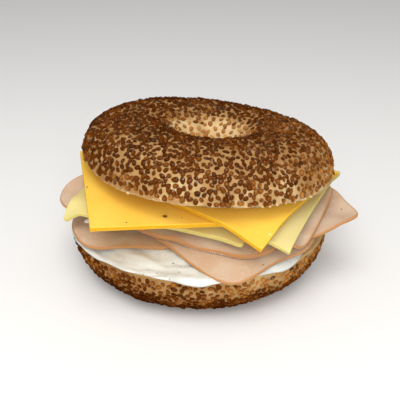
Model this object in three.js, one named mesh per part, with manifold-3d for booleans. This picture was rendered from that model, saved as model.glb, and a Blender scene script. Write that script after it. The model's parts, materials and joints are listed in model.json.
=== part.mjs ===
// A filled seeded bagel: a ring-shaped roll cut in two, and between its halves a white spread,
// six thin slices of roast turkey, two slices of pale cheese and two of yellow cheese.
// Millimetres, +Z up. The roll's flat base is on z = 0 and the side that shows most is at -Y.

import * as THREE from "three";
import { mergeVertices } from "three/addons/utils/BufferGeometryUtils.js";
import Module from "manifold-3d";

const wasm = await Module();
wasm.setup();

// Driving dimensions
const ROLL_RADIUS = 57.5; // a large bagel, 115 mm across
const HOLE_RADIUS = 11; // at the cut, where the ring is fattest
const BOTTOM_HEIGHT = 21.3; // from the base up to the cut
const TOP_HEIGHT = 19; // from the cut up to the crest
const TOP_RADIUS = 56.2;
const TOP_CENTRE = [2.9, 1.5, 47.3]; // middle of the top half's cut face
const TOP_LEAN = { front: 3.24, left: 5.18 }; // degrees that the filling lifts these sides
const SPREAD_DEPTH = 3.2;
const GAP = 0.35; // between pieces that lie on each other
const CHEESE = 1.8; // thickness of a cheese slice
const TURKEY = 1.4; // thickness of a turkey slice
const PALE_SIDE = 76; // sides of the square cheese slices
const YELLOW_SIDE = 75;

const COLOURS = {
  crust: 0xc99a5b,
  spread: 0xeeece0,
  turkey: 0xe2ae8e,
  pale: 0xece08a,
  yellow: 0xfdbf3e,
};

// Small helpers

const FULL_TURN = 2 * Math.PI;
const lerp = THREE.MathUtils.lerp;
const smooth = THREE.MathUtils.smoothstep;
const radians = THREE.MathUtils.degToRad;

// A repeatable random number between 0 and 1, from its own seed.
function randomFrom(seed) {
  let state = seed;
  return () => {
    state = (state * 1664525 + 1013904223) % 4294967296;
    return state / 4294967296;
  };
}

function indexed(points, faces) {
  const geometry = new THREE.BufferGeometry().setFromPoints(points);
  geometry.setIndex(faces.flat());
  return geometry;
}

function solidOf(geometry) {
  const bare = geometry.clone();
  bare.deleteAttribute("normal");
  bare.deleteAttribute("uv");
  const merged = mergeVertices(bare, 1e-3);
  const vertProperties = new Float32Array(merged.attributes.position.array);
  const triVerts = new Uint32Array(merged.index.array);
  return new wasm.Manifold(new wasm.Mesh({ numProp: 3, vertProperties, triVerts }));
}

function meshOf(name, colour, solid) {
  const { vertProperties, triVerts } = solid.getMesh();
  const geometry = new THREE.BufferGeometry();
  geometry.setAttribute("position", new THREE.BufferAttribute(vertProperties, 3));
  geometry.setIndex(new THREE.BufferAttribute(triVerts, 1));
  geometry.computeVertexNormals();
  const material = new THREE.MeshStandardMaterial({ color: colour, roughness: 0.55, metalness: 0 });
  const mesh = new THREE.Mesh(geometry, material);
  mesh.name = name;
  return mesh;
}

// The faces of a closed ring: steps sections of rows points each, every section a closed loop.
function ringFaces(steps, rows) {
  const faces = [];
  for (let i = 0; i < steps; i++) {
    const here = i * rows;
    const next = ((i + 1) % steps) * rows;
    for (let j = 0; j < rows; j++) {
      const above = (j + 1) % rows;
      faces.push([here + j, next + j, next + above]);
      faces.push([here + j, next + above, here + above]);
    }
  }
  return faces;
}

// The roll

// Each half is a ring whose section is an arch over the cut face. squareness 2 makes the arch
// an ellipse, and more makes it fuller. The ring is a little uneven all the way round, as
// hand-shaped dough is: waves of [share, phase] go two and three times round it. The bottom
// half's arch is cut off flat at its floor, which is the base that the bagel stands on.
const STEPS = 44;
const ARCH_STEPS = 14;
const BASE_CUT = 1.06; // the arch would reach this much further than the base

const topShape = {
  radius: TOP_RADIUS,
  height: TOP_HEIGHT,
  floor: Infinity,
  squareness: 2.34,
  radiusWaves: [[0.006, 3.05], [0.0255, -1.08]],
  heightWaves: [[0.0126, 2.81], [0.0073, 0.8]],
};
const bottomShape = {
  radius: ROLL_RADIUS,
  height: BOTTOM_HEIGHT * BASE_CUT,
  floor: BOTTOM_HEIGHT,
  squareness: 2.16,
  radiusWaves: [[0.005, 1.1], [0.006, 2.4]],
  heightWaves: [[0.01, 0.3], [0.008, 1.9]],
};

function uneven(waves, angle) {
  const [[two, twoPhase], [three, threePhase]] = waves;
  return 1 + two * Math.cos(2 * angle + twoPhase) + three * Math.cos(3 * angle + threePhase);
}

// A point on the crust. turn goes from 0 at the outer cut edge over the crest to 1 at the hole.
function crustPoint(shape, angle, turn) {
  const middle = (shape.radius + HOLE_RADIUS) / 2;
  const reach = (shape.radius - HOLE_RADIUS) / 2;
  const power = 2 / shape.squareness;
  const across = Math.cos(turn * Math.PI);
  const outward = Math.sign(across) * Math.abs(across) ** power;
  const arch = Math.abs(Math.sin(turn * Math.PI)) ** power;
  const r = (middle + reach * outward) * uneven(shape.radiusWaves, angle);
  const z = Math.min(arch * shape.height * uneven(shape.heightWaves, angle), shape.floor);
  return new THREE.Vector3(r * Math.cos(angle), r * Math.sin(angle), z);
}

function crustNormal(shape, angle, turn) {
  const step = 1e-3;
  const point = crustPoint(shape, angle, turn);
  const along = crustPoint(shape, angle + step, turn).sub(point);
  const over = crustPoint(shape, angle, turn + step).sub(point);
  return along.cross(over).normalize();
}

function bareHalf(shape) {
  const points = [];
  for (let i = 0; i < STEPS; i++) {
    for (let j = 0; j <= ARCH_STEPS; j++) {
      points.push(crustPoint(shape, (i / STEPS) * FULL_TURN, j / ARCH_STEPS));
    }
  }
  return solidOf(indexed(points, ringFaces(STEPS, ARCH_STEPS + 1)));
}

// Sesame seeds: flat drops, pressed about half way into the crust.
const SEED = { length: 3.2, width: 2.2, thickness: 1.2, pointed: 0.3, sunk: 0.05 };

function seedGeometry() {
  const seed = new THREE.SphereGeometry(1, 6, 3).rotateX(Math.PI / 2);
  const place = seed.attributes.position;
  for (let i = 0; i < place.count; i++) {
    const narrowing = 1 - SEED.pointed * place.getX(i);
    const x = (place.getX(i) * SEED.length) / 2;
    const y = (place.getY(i) * narrowing * SEED.width) / 2;
    const z = (place.getZ(i) * SEED.thickness) / 2;
    place.setXYZ(i, x, y, z);
  }
  return seed;
}

// Seeds spread evenly over a stretch of the crust, fewer where the ring is small, and joined
// to the half that they lie on.
function seeded(shape, count, [firstTurn, lastTurn], seed) {
  const random = randomFrom(seed);
  const drop = seedGeometry();
  const up = new THREE.Vector3(0, 0, 1);
  let joined = bareHalf(shape);
  let placed = 0;
  for (let k = 1; placed < count; k++) {
    const angle = ((k * 0.7548777) % 1) * FULL_TURN;
    const turn = lerp(firstTurn, lastTurn, (k * 0.5698403) % 1);
    const spin = random() * FULL_TURN;
    const place = crustPoint(shape, angle, turn);
    if (random() > Math.hypot(place.x, place.y) / shape.radius) continue;
    const normal = crustNormal(shape, angle, turn);
    const facing = new THREE.Quaternion().setFromUnitVectors(up, normal);
    place.addScaledVector(normal, -SEED.sunk * SEED.thickness);
    const piece = drop.clone().rotateZ(spin).applyQuaternion(facing);
    joined = joined.add(solidOf(piece.translate(...place)));
    placed += 1;
  }
  return joined;
}

function topHalf() {
  const mesh = meshOf("bun_top", COLOURS.crust, seeded(topShape, 105, [0.08, 0.85], 7));
  mesh.rotation.set(-radians(TOP_LEAN.front), radians(TOP_LEAN.left), 0, "YXZ");
  mesh.position.set(...TOP_CENTRE);
  return mesh;
}

function bottomHalf() {
  const mesh = meshOf("bun_bottom", COLOURS.crust, seeded(bottomShape, 50, [0.12, 0.32], 23));
  mesh.rotation.x = Math.PI; // the arch points down
  mesh.position.z = BOTTOM_HEIGHT;
  return mesh;
}

// The spread: a soft ring on the lower cut face. In front it bulges over the edge of the roll
// in soft lips, and it is pressed thin under the slice of turkey that hangs over it there.
// Directions and widths are in degrees.
const SPREAD_HOLE = 15;
const SPREAD_STEPS = 48;
const TONGUE = { towards: 281, width: 12 };
const BULGE = { from: 188, to: 330, fade: 14 }; // the stretch in front that bulges out
const BARE = { towards: 336, width: 16 }; // where it stops short of the edge
const LIPS = [
  { towards: 203, width: 6, depth: 2 },
  { towards: 258, width: 10, depth: 2 },
  { towards: 296, width: 8, depth: 1.4 },
  { towards: 306, width: 6, depth: 2.6 },
];

function spreadShape(angle) {
  const degrees = THREE.MathUtils.radToDeg(angle);
  const lobe = ({ towards, width }) => Math.exp(-(((degrees - towards) / width) ** 2));
  const rise = smooth(degrees, BULGE.from - BULGE.fade, BULGE.from);
  const front = rise * (1 - smooth(degrees, BULGE.to - BULGE.fade, BULGE.to));
  const pressed = lobe(TONGUE);
  const waves = Math.sin(5 * angle + 0.4) + 0.7 * Math.sin(9 * angle + 2.2);
  const edge = ROLL_RADIUS * uneven(bottomShape.radiusWaves, -angle);
  const lip = LIPS.reduce((sum, place) => sum + place.depth * lobe(place), 0);
  return {
    edge,
    reach: edge - 4 + 4.9 * front + 0.3 * waves + 0.5 * lip - 2.5 * pressed - 3 * lobe(BARE),
    top: SPREAD_DEPTH + 0.7 * front + 0.15 * waves - 1.9 * pressed,
    lip: lip * (1 - pressed),
  };
}

function spreadSection(angle) {
  const { edge, reach, top, lip } = spreadShape(angle);
  const inner = SPREAD_HOLE + 0.8 * Math.sin(4 * angle);
  const foot = lerp(reach - 1, edge + 0.5, smooth(reach - edge, 0.2, 0.5));
  const outer = Math.max(reach, foot + 0.7);
  const tuck = lip * smooth(reach - edge, 1.2, 1.8); // how far it hangs below the cut
  return [
    [inner, 0],
    [foot, 0],
    [foot + 0.1, -tuck],
    [outer, 0.3 - 0.55 * tuck],
    [outer - 0.3, 0.16 * top],
    [outer - 2.2, 0.32 * top],
    [outer - 7, 0.62 * top],
    [outer - 14, top],
    [lerp(inner, outer, 0.4), top],
    [inner + 3, 0.8 * top],
    [inner + 0.4, 0.4 * top],
  ];
}

const SPREAD_BASE = BOTTOM_HEIGHT + 0.3;

function spreadSurface() {
  const points = [];
  for (let i = 0; i < SPREAD_STEPS; i++) {
    const angle = (i / SPREAD_STEPS) * FULL_TURN;
    for (const [r, z] of spreadSection(angle)) {
      points.push(new THREE.Vector3(r * Math.cos(angle), r * Math.sin(angle), SPREAD_BASE + z));
    }
  }
  return { points, faces: ringFaces(SPREAD_STEPS, points.length / SPREAD_STEPS) };
}

// The stack: slices are laid one on another. The ground is the top of what lies there so far,
// held as heights at evenly spaced sample points.
const SAMPLE_STEP = 1;
const SAMPLE_HALF = 80;
const SAMPLES = (2 * SAMPLE_HALF) / SAMPLE_STEP + 1;
const EDGE_MARGIN = 1.1; // a piece counts this far outside its edge too
const ground = new Float64Array(SAMPLES * SAMPLES).fill(-Infinity);

const flatLength = (a, b) => Math.hypot(b.x - a.x, b.y - a.y);

// Calls visit(sample, weights) for each sample point in a triangle or within margin of it.
function overTriangle([a, b, c], margin, visit) {
  const area = (b.x - a.x) * (c.y - a.y) - (c.x - a.x) * (b.y - a.y);
  if (Math.abs(area) < 1e-3) return;
  const longest = Math.max(flatLength(a, b), flatLength(b, c), flatLength(c, a));
  const slack = (margin * longest) / Math.abs(area);
  const first = (low) => Math.ceil((low - margin + SAMPLE_HALF) / SAMPLE_STEP);
  const last = (high) => Math.floor((high + margin + SAMPLE_HALF) / SAMPLE_STEP);
  const lastColumn = last(Math.max(a.x, b.x, c.x));
  const lastRow = last(Math.max(a.y, b.y, c.y));
  for (let i = first(Math.min(a.x, b.x, c.x)); i <= lastColumn; i++) {
    for (let j = first(Math.min(a.y, b.y, c.y)); j <= lastRow; j++) {
      const x = i * SAMPLE_STEP - SAMPLE_HALF;
      const y = j * SAMPLE_STEP - SAMPLE_HALF;
      const wb = ((x - a.x) * (c.y - a.y) - (c.x - a.x) * (y - a.y)) / area;
      const wc = ((b.x - a.x) * (y - a.y) - (x - a.x) * (b.y - a.y)) / area;
      const weights = [1 - wb - wc, wb, wc];
      if (Math.min(...weights) < -slack) continue;
      const kept = weights.map((w) => THREE.MathUtils.clamp(w, 0, 1));
      const sum = kept[0] + kept[1] + kept[2];
      visit(i * SAMPLES + j, kept.map((w) => w / sum));
    }
  }
}

const heightIn = (corners, weights) => weights.reduce((sum, w, k) => sum + w * corners[k].z, 0);

function raiseGround(points, faces, thickness) {
  for (const face of faces) {
    const corners = face.map((i) => points[i]);
    overTriangle(corners, EDGE_MARGIN, (sample, weights) => {
      const top = heightIn(corners, weights) + thickness;
      ground[sample] = Math.max(ground[sample], top);
    });
  }
}

// Lifts a slice's points, each as little as it can be, until no facet is below the ground.
function layDown(points, faces) {
  for (let pass = 0; pass < 60; pass++) {
    let deepest = 0;
    for (const face of faces) {
      const corners = face.map((i) => points[i]);
      overTriangle(corners, 0, (sample, weights) => {
        const needed = ground[sample] + GAP;
        const short = needed - heightIn(corners, weights);
        if (short <= 0) return;
        const share = weights.reduce((sum, w) => sum + w * w, 0);
        corners.forEach((corner, k) => {
          const lifted = Math.min(needed, corner.z + (short * weights[k]) / share);
          corner.z = Math.max(corner.z, lifted);
        });
        deepest = Math.max(deepest, short);
      });
    }
    if (deepest < 0.02) return;
  }
}

// Lays a sheet with its wanted heights on the stack and gives it its thickness.
function layered(name, colour, { points, faces, rim }, thickness) {
  layDown(points, faces);
  raiseGround(points, faces, thickness);
  const upper = points.map((p) => new THREE.Vector3(p.x, p.y, p.z + thickness));
  const lift = points.length;
  const shell = [];
  for (const [a, b, c] of faces) {
    shell.push([a, c, b]);
    shell.push([a + lift, b + lift, c + lift]);
  }
  rim.forEach((here, i) => {
    const next = rim[(i + 1) % rim.length];
    shell.push([here, next, next + lift]);
    shell.push([here, next + lift, here + lift]);
  });
  return meshOf(name, colour, solidOf(indexed([...points, ...upper], shell)));
}

// How far a slice hangs at a place where it is bent along a straight line: nothing before the
// line's distance from the middle, then more and more up to an even slope.
const BEND_ROUNDING = 6;

function hang(x, y, { towards, start, slope }) {
  const along = x * Math.cos(radians(towards)) + y * Math.sin(radians(towards));
  const past = (along - start) / BEND_ROUNDING;
  return slope * BEND_ROUNDING * Math.log1p(Math.exp(past));
}

// The whole stack sags to the front, and more where its corners stick out on the right there.
const SAGS = [
  { towards: -85, start: 22, slope: 0.17 },
  { towards: -60, start: 50, slope: 0.35 },
];

// The height at a place, as a share of the way from the spread up to the upper cut face.
function between(share, x, y) {
  const lean = Math.tan(radians(TOP_LEAN.left)) * (x - TOP_CENTRE[0]);
  const tip = Math.tan(radians(TOP_LEAN.front)) * (y - TOP_CENTRE[1]);
  const sag = SAGS.reduce((sum, bend) => sum + hang(x, y, bend), 0);
  const upper = TOP_CENTRE[2] - lean - tip - sag;
  return lerp(SPREAD_BASE + SPREAD_DEPTH, upper, share);
}

// A turkey slice: rings of points inside a smooth closed rim. The rim goes through the given
// [x, y, z] points, and the slice is lifted to its share of the stack in the middle.
const SPOKES = 28;
const RINGS = 4;

function oval(outline, share, ripple) {
  const corners = outline.map((place) => new THREE.Vector3(...place));
  const curve = new THREE.CatmullRomCurve3(corners, true, "centripetal");
  const edge = curve.getSpacedPoints(SPOKES).slice(0, SPOKES);
  const middle = new THREE.Vector3();
  for (const p of edge) middle.addScaledVector(p, 1 / SPOKES);
  middle.z = between(share, middle.x, middle.y);
  const points = [middle];
  const faces = [];
  for (let ring = 1; ring <= RINGS; ring++) {
    const out = (ring / RINGS) ** 0.8;
    edge.forEach((p, s) => {
      const place = middle.clone().lerp(p, out);
      const wave = ripple * out * (1 - 0.6 * out) * Math.sin((s / SPOKES) * 7 * FULL_TURN);
      place.z = lerp(between(share, place.x, place.y), p.z, out ** 3) + wave;
      points.push(place);
    });
  }
  const index = (ring, spoke) => 1 + (ring - 1) * SPOKES + (spoke % SPOKES);
  for (let s = 0; s < SPOKES; s++) {
    faces.push([0, index(1, s), index(1, s + 1)]);
    for (let ring = 1; ring < RINGS; ring++) {
      const [a, b] = [index(ring, s), index(ring, s + 1)];
      const [c, d] = [index(ring + 1, s + 1), index(ring + 1, s)];
      faces.push([a, d, c], [a, c, b]);
    }
  }
  const rim = edge.map((p, s) => index(RINGS, s));
  return { points, faces, rim };
}

// A square cheese slice on a lattice, given by its front corner and the direction of a side.
const LATTICE = 8;

function square([x, y], turned, side, share, bends) {
  const u = new THREE.Vector3(Math.cos(radians(turned)), Math.sin(radians(turned)), 0);
  const v = new THREE.Vector3(-u.y, u.x, 0);
  const along = (i) => side * lerp(i / LATTICE, smooth(i / LATTICE, 0, 1), 0.5); // finer at the edges
  const points = [];
  const faces = [];
  const rim = [];
  const index = (i, j) => i * (LATTICE + 1) + j;
  for (let i = 0; i <= LATTICE; i++) {
    for (let j = 0; j <= LATTICE; j++) {
      const p = new THREE.Vector3(x, y, 0).addScaledVector(u, along(i)).addScaledVector(v, along(j));
      p.z = between(share, p.x, p.y) - bends.reduce((sum, fold) => sum + hang(p.x, p.y, fold), 0);
      points.push(p);
    }
  }
  for (let i = 0; i < LATTICE; i++) {
    for (let j = 0; j < LATTICE; j++) {
      const [a, b, c, d] = [index(i, j), index(i + 1, j), index(i + 1, j + 1), index(i, j + 1)];
      if ((i + j) % 2) faces.push([a, b, c], [a, c, d]);
      else faces.push([a, b, d], [b, c, d]);
    }
  }
  for (let i = 0; i < LATTICE; i++) rim.push(index(i, 0));
  for (let j = 0; j < LATTICE; j++) rim.push(index(LATTICE, j));
  for (let i = LATTICE; i > 0; i--) rim.push(index(i, LATTICE));
  for (let j = LATTICE; j > 0; j--) rim.push(index(0, j));
  return { points, faces, rim };
}

// The slices from the bottom up. Each turkey rim runs counterclockwise.
const turkeySlices = [
  {
    // under everything, left and front
    rim: [
      [-55, -14, 25.5], [-52, -28, 25.3], [-45, -37.5, 25.2], [-28, -39.5, 25.2], [-13, -40, 25.2],
      [-4, -30, 26], [10, -6, 26], [8, 26, 26], [-20, 36, 26], [-46, 18, 26],
    ],
    share: 0.03,
    ripple: 0.4,
  },
  {
    // the tongue that hangs over the spread in front
    rim: [
      [-19, -34, 27.5], [-10, -43.5, 25.2], [-4, -49.5, 23.3], [2, -55.5, 21.8], [11, -59.6, 21],
      [19, -58, 21.2], [27, -50.5, 22.6], [35, -45, 24.2], [43, -40, 25.3], [50, -12, 26.5],
      [20, 22, 26.5], [-14, 14, 27], [-24, -14, 27],
    ],
    share: 0.1,
    ripple: 0.3,
  },
  {
    // the tip that sticks out on the right
    rim: [
      [63, -16, 34], [59, -2, 34.5], [49, 18, 29.5], [22, 28, 28], [-8, 20, 28.5],
      [-12, -4, 28.5], [12, -28, 28], [44, -35, 28], [52, -32.5, 29.5], [59.4, -28.7, 32],
      [64, -27, 32.5], [66, -22, 33],
    ],
    share: 0.22,
    ripple: 0.3,
  },
  {
    // the thick fold on the tongue
    rim: [
      [-26, -31, 29.5], [-10, -40.8, 28], [5, -45.5, 26], [17, -49.2, 24.9], [26, -47.5, 25.6],
      [33, -36, 27.6], [30, -14, 29.5], [10, 4, 30], [-18, 6, 30], [-32, -12, 30],
    ],
    share: 0.28,
    ripple: 0.4,
    thickness: 2.2,
  },
  {
    // the rounded end on the left
    rim: [
      [-53.6, 5, 38], [-57, 2.3, 37], [-60, -3.8, 35.5], [-60.8, -9.1, 34.5], [-59.7, -14.3, 34],
      [-55, -20, 33.3], [-36, -27, 33], [-10, -20, 32.5], [-4, 8, 32], [-10, 36, 32],
      [-38, 28, 35],
    ],
    share: 0.38,
    ripple: 0.6,
  },
  {
    // the rim that shows on the right, under the pale cheese
    rim: [
      [57.5, -8, 36.5], [52, 14, 33], [36, 28, 31], [18, 20, 31], [12, -8, 32],
      [24, -32, 31], [35.4, -46.3, 27.8], [43.9, -39, 27.8], [49, -29.2, 31.5], [54.3, -17, 35],
    ],
    share: 0.42,
    ripple: 0.3,
  },
];

const cheeseSlices = [
  {
    name: "pale_cheese_1",
    side: PALE_SIDE,
    corner: [-56.5, -26],
    turned: -17.5,
    share: 0.53,
    bends: [
      { towards: 210, start: 42, slope: 0.45 },
      { towards: -95, start: 26, slope: 0.12 },
    ],
  },
  {
    name: "pale_cheese_2",
    side: PALE_SIDE,
    corner: [34.2, -54.6],
    turned: 65,
    share: 0.65,
    bends: [{ towards: -60, start: 60, slope: 0.3 }],
  },
  {
    name: "yellow_cheese_1",
    side: YELLOW_SIDE,
    corner: [-40.3, -58.6],
    turned: 12,
    share: 0.76,
    bends: [],
  },
  {
    name: "yellow_cheese_2",
    side: YELLOW_SIDE,
    corner: [22.8, -60.8],
    turned: 58,
    share: 0.85,
    bends: [],
  },
];

// The pieces, from the bottom up

const bagel = new THREE.Group();
bagel.add(bottomHalf());

const cream = spreadSurface();
bagel.add(meshOf("spread", COLOURS.spread, solidOf(indexed(cream.points, cream.faces))));
raiseGround(cream.points, cream.faces, 0);

turkeySlices.forEach(({ rim, share, ripple, thickness = TURKEY }, i) => {
  bagel.add(layered(`turkey_${i + 1}`, COLOURS.turkey, oval(rim, share, ripple), thickness));
});

for (const { name, side, corner, turned, share, bends } of cheeseSlices) {
  const colour = side === PALE_SIDE ? COLOURS.pale : COLOURS.yellow;
  bagel.add(layered(name, colour, square(corner, turned, side, share, bends), CHEESE));
}

bagel.add(topHalf());

// The origin goes under the middle of the whole thing.
const box = new THREE.Box3().setFromObject(bagel, true);
const centre = box.getCenter(new THREE.Vector3());
for (const piece of bagel.children) {
  piece.position.add(new THREE.Vector3(-centre.x, -centre.y, -box.min.z));
}

export default bagel;
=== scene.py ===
# %% [markdown]
# # A filled sesame bagel
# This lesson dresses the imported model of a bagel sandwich: a ring-shaped roll cut in two, with a
# white spread, slices of roast turkey and four square slices of cheese between its halves. The
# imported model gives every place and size, and the cells below add crust, seeds, meat and cheese.

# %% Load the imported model
import json
import math
import random

import bmesh
import bpy
import numpy as np
from mathutils import Matrix, Vector, noise
from mathutils.bvhtree import BVHTree
from mathutils.kdtree import KDTree


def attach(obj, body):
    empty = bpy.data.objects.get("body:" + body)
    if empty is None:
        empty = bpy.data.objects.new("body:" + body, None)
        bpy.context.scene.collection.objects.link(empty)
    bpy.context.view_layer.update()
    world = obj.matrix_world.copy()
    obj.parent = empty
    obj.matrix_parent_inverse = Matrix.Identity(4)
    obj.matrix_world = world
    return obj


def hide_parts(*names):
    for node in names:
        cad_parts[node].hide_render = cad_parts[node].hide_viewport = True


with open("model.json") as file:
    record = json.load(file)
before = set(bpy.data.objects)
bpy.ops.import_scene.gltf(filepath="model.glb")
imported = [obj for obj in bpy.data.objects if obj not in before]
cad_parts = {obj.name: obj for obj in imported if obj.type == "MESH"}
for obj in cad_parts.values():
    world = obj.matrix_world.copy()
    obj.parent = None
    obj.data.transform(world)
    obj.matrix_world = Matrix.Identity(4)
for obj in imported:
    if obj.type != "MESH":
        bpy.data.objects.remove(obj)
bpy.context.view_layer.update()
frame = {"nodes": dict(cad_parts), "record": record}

print("packed model:", len(frame["nodes"]), "nodes")

# %% [markdown]
# ## Driving sizes
# Blender works in metres here, so millimetres are written with a factor. The roll is a ring
# whose section is an arch over the cut face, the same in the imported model: its radius, height
# and squareness say how full the arch is, and slow waves make the ring a little uneven. The
# ring's middle is found from the flat place under the roll that the record names.

# %% Sizes of the roll
MM = 0.001
FULL_TURN = 2 * math.pi

BASE_RING = 32 * MM  # from the middle of the roll to the named place on its base
base_place = Vector(frame["record"]["mounts"][0]["pos_m"])
centre = base_place - Vector((BASE_RING, 0, 0))

HOLE_RADIUS = 11 * MM
BOTTOM_HEIGHT = 21.3 * MM
BASE_CUT = 1.06  # the lower arch would reach this much further than the base
TOP_MIDDLE = Vector((2.9, 1.5, 47.3)) * MM
LEAN_FRONT = math.radians(3.24)
LEAN_LEFT = math.radians(5.18)

TOP_SHAPE = {
    "radius": 56.2 * MM,
    "height": 19 * MM,
    "floor": math.inf,
    "squareness": 2.34,
    "radius_waves": ((0.006, 3.05), (0.0255, -1.08)),
    "height_waves": ((0.0126, 2.81), (0.0073, 0.8)),
}
BOTTOM_SHAPE = {
    "radius": 57.5 * MM,
    "height": BOTTOM_HEIGHT * BASE_CUT,
    "floor": BOTTOM_HEIGHT,
    "squareness": 2.16,
    "radius_waves": ((0.005, 1.1), (0.006, 2.4)),
    "height_waves": ((0.01, 0.3), (0.008, 1.9)),
}

lean = Matrix.Rotation(LEAN_LEFT, 4, "Y") @ Matrix.Rotation(-LEAN_FRONT, 4, "X")
top_place = Matrix.Translation(centre + TOP_MIDDLE) @ lean
over = Matrix.Rotation(math.pi, 4, "X")  # the lower half lies with its arch down
bottom_place = Matrix.Translation(centre + Vector((0, 0, BOTTOM_HEIGHT))) @ over
print("middle of the roll:", [round(v / MM, 2) for v in centre])


# %% [markdown]
# ## Small helpers
# A smooth step and a soft random field are used by many pieces. The field is Perlin noise, which
# gives the same value for the same place each time, so every run makes the same bagel.

# %% Helpers for values
def smooth(value, low, high):
    share = min(max((value - low) / (high - low), 0.0), 1.0)
    return share * share * (3 - 2 * share)


def lerp(a, b, share):
    return a + (b - a) * share


def toward(angle, direction):
    """1 in a direction, falling to 0 square to it and staying 0 behind."""
    return max(0.0, math.cos(angle - direction))


def field(place, size, layer=0.0):
    """Soft noise between about -1 and 1, in blobs of that size, in millimetres."""
    return noise.noise(place / (size * MM) + Vector((layer * 7.3, layer * 3.1, layer * 5.7)))


# %% [markdown]
# A piece is finished by a few lines that are always the same: its faces are shaded smooth, it
# gets its material, it rides on the model's one body, and it may stand for one of the imported
# model's parts.

# %% Helpers for pieces
def piece_from(name, bm):
    mesh = bpy.data.meshes.new(name)
    bm.to_mesh(mesh)
    bm.free()
    piece = bpy.data.objects.new(name, mesh)
    bpy.context.scene.collection.objects.link(piece)
    return piece


def settle(piece):
    """Turns the modifiers into mesh, so that later steps can read and move the result."""
    seen = piece.evaluated_get(bpy.context.evaluated_depsgraph_get())
    shaped = bpy.data.meshes.new_from_object(seen)
    piece.modifiers.clear()
    piece.data = shaped


def keep_values(piece, name, values):
    layer = piece.data.attributes.new(name, "FLOAT", "POINT")
    layer.data.foreach_set("value", np.asarray(values, dtype=np.float32))


def finish_piece(piece, material, slot, *stands_for):
    piece.data.materials.clear()
    piece.data.materials.append(material)
    piece.data.shade_smooth()
    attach(piece, "root")
    if stands_for:
        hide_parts(*stands_for)
    triangles = sum(len(face.vertices) - 2 for face in piece.data.polygons)
    print(piece.name, triangles, "triangles")
    return piece


# %% [markdown]
# ## Shader helpers
# Materials are node trees. One helper fills a node's inputs with numbers or with other nodes'
# outputs, and another adds a node and fills it, so a material reads like a recipe.

# %% Helpers for materials
def fill(tree, node, inputs):
    for name, value in inputs.items():
        if isinstance(value, bpy.types.NodeSocket):
            tree.links.new(value, node.inputs[name])
        else:
            node.inputs[name].default_value = value


def put(tree, kind, inputs=None, **settings):
    made = tree.nodes.new(kind)
    for name, value in settings.items():
        setattr(made, name, value)
    fill(tree, made, inputs or {})
    return made


def start_material(name):
    material = bpy.data.materials.new(name)
    material.use_nodes = True
    tree = material.node_tree
    return material, tree, tree.nodes["Principled BSDF"]


def let_light_in(weight, radius):
    """Light goes into the food and comes out a little further on, red the furthest."""
    return {"Subsurface Weight": weight, "Subsurface Radius": radius, "Subsurface Scale": 1.0}


def ramp(tree, mask, *stops):
    """A colour ramp from (place, colour) stops."""
    made = put(tree, "ShaderNodeValToRGB", {"Fac": mask})
    band = made.color_ramp
    while len(band.elements) < len(stops):
        band.elements.new(1.0)
    for element, (place, colour) in zip(band.elements, stops):
        element.position = place
        element.color = (*colour, 1.0)
    return made.outputs["Color"]


def blend(tree, mask, first, second):
    mix = put(tree, "ShaderNodeMix", data_type="RGBA")
    for socket, value in ((mix.inputs[0], mask), (mix.inputs[6], first), (mix.inputs[7], second)):
        if isinstance(value, bpy.types.NodeSocket):
            tree.links.new(value, socket)
        elif isinstance(value, tuple):
            socket.default_value = (*value, 1.0)
        else:
            socket.default_value = value
    return mix.outputs[2]


def attribute(tree, name):
    return put(tree, "ShaderNodeAttribute", attribute_name=name).outputs["Fac"]


# %% [markdown]
# Two effects come back in nearly every food: colour that varies in soft patches, and a fine
# uneven skin. Both are node groups, built once, and each material sets its own scale.

# %% Group: soft patches
def start_group(name, takes, gives):
    group = bpy.data.node_groups.new(name, "ShaderNodeTree")
    for label, default in takes:
        socket = group.interface.new_socket(label, in_out="INPUT", socket_type="NodeSocketFloat")
        socket.default_value = default
    label, kind = gives
    group.interface.new_socket(label, in_out="OUTPUT", socket_type=kind)
    return group, group.nodes.new("NodeGroupInput"), group.nodes.new("NodeGroupOutput")


patches, patches_in, patches_out = start_group(
    "soft_patches",
    (("Scale", 100.0), ("Detail", 3.0), ("Low", 0.4), ("High", 0.6)),
    ("Mask", "NodeSocketFloat"),
)
where = put(patches, "ShaderNodeTexCoord")
cloud = put(patches, "ShaderNodeTexNoise", {
    "Vector": where.outputs["Object"],
    "Scale": patches_in.outputs["Scale"],
    "Detail": patches_in.outputs["Detail"],
})
stretched = put(patches, "ShaderNodeMapRange", {
    "Value": cloud.outputs["Fac"],
    "From Min": patches_in.outputs["Low"],
    "From Max": patches_in.outputs["High"],
}, interpolation_type="SMOOTHSTEP")
patches.links.new(stretched.outputs["Result"], patches_out.inputs["Mask"])

# %% Group: uneven skin
skin, skin_in, skin_out = start_group(
    "uneven_skin",
    (("Scale", 800.0), ("Depth", 0.0002), ("Fine", 0.3)),
    ("Normal", "NodeSocketVector"),
)
where = put(skin, "ShaderNodeTexCoord")
coarse = put(skin, "ShaderNodeTexNoise", {
    "Vector": where.outputs["Object"],
    "Scale": skin_in.outputs["Scale"],
    "Detail": 4.0,
    "Roughness": skin_in.outputs["Fine"],
})
dents = put(skin, "ShaderNodeBump", {
    "Height": coarse.outputs["Fac"],
    "Distance": skin_in.outputs["Depth"],
})
skin.links.new(dents.outputs["Normal"], skin_out.inputs["Normal"])


def soft_patches(tree, scale, low, high, detail=3.0):
    inputs = {"Scale": scale, "Detail": detail, "Low": low, "High": high}
    return put(tree, "ShaderNodeGroup", inputs, node_tree=patches).outputs["Mask"]


def uneven_skin(tree, scale, depth, fine):
    inputs = {"Scale": scale, "Depth": depth, "Fine": fine}
    return put(tree, "ShaderNodeGroup", inputs, node_tree=skin).outputs["Normal"]


print("shader groups:", [group.name for group in bpy.data.node_groups])

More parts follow.
